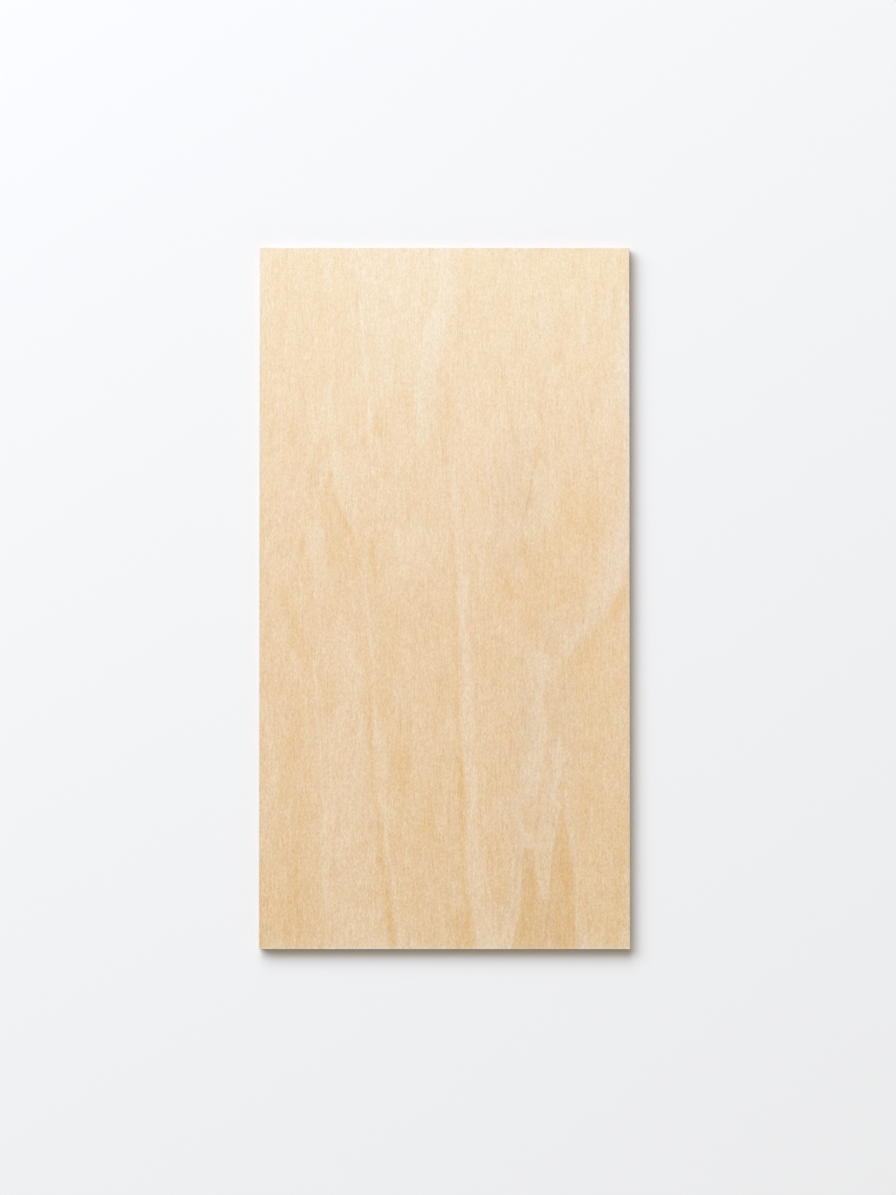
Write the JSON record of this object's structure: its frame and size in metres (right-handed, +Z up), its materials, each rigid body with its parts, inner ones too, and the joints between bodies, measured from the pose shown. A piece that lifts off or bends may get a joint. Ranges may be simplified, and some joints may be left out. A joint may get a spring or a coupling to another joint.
{
  "type": "plywood sheet",
  "caption": "Rectangular sheet of pale sanded plywood, cross-laminated from rotary-cut veneers, lying flat on its back face.",
  "frame": {"origin": "centre of the back face, which the sheet lies on", "axes": "+X across the sheet, +Y along its length and the grain of the face veneer, +Z up through its thickness, out of the face"},
  "size_m": [0.317, 0.6, 0.009],
  "materials": {
    "long_grain_veneer": "sanded, unfinished",
    "cross_grain_veneer": "sawn, unfinished"
  },
  "bodies": {
    "root": {"back_veneer": "long_grain_veneer", "lower_crossband": "cross_grain_veneer", "lower_inner_ply": "long_grain_veneer", "core_veneer": "cross_grain_veneer", "upper_inner_ply": "long_grain_veneer", "upper_crossband": "cross_grain_veneer", "face_veneer": "long_grain_veneer"}
  },
  "joints": []
}
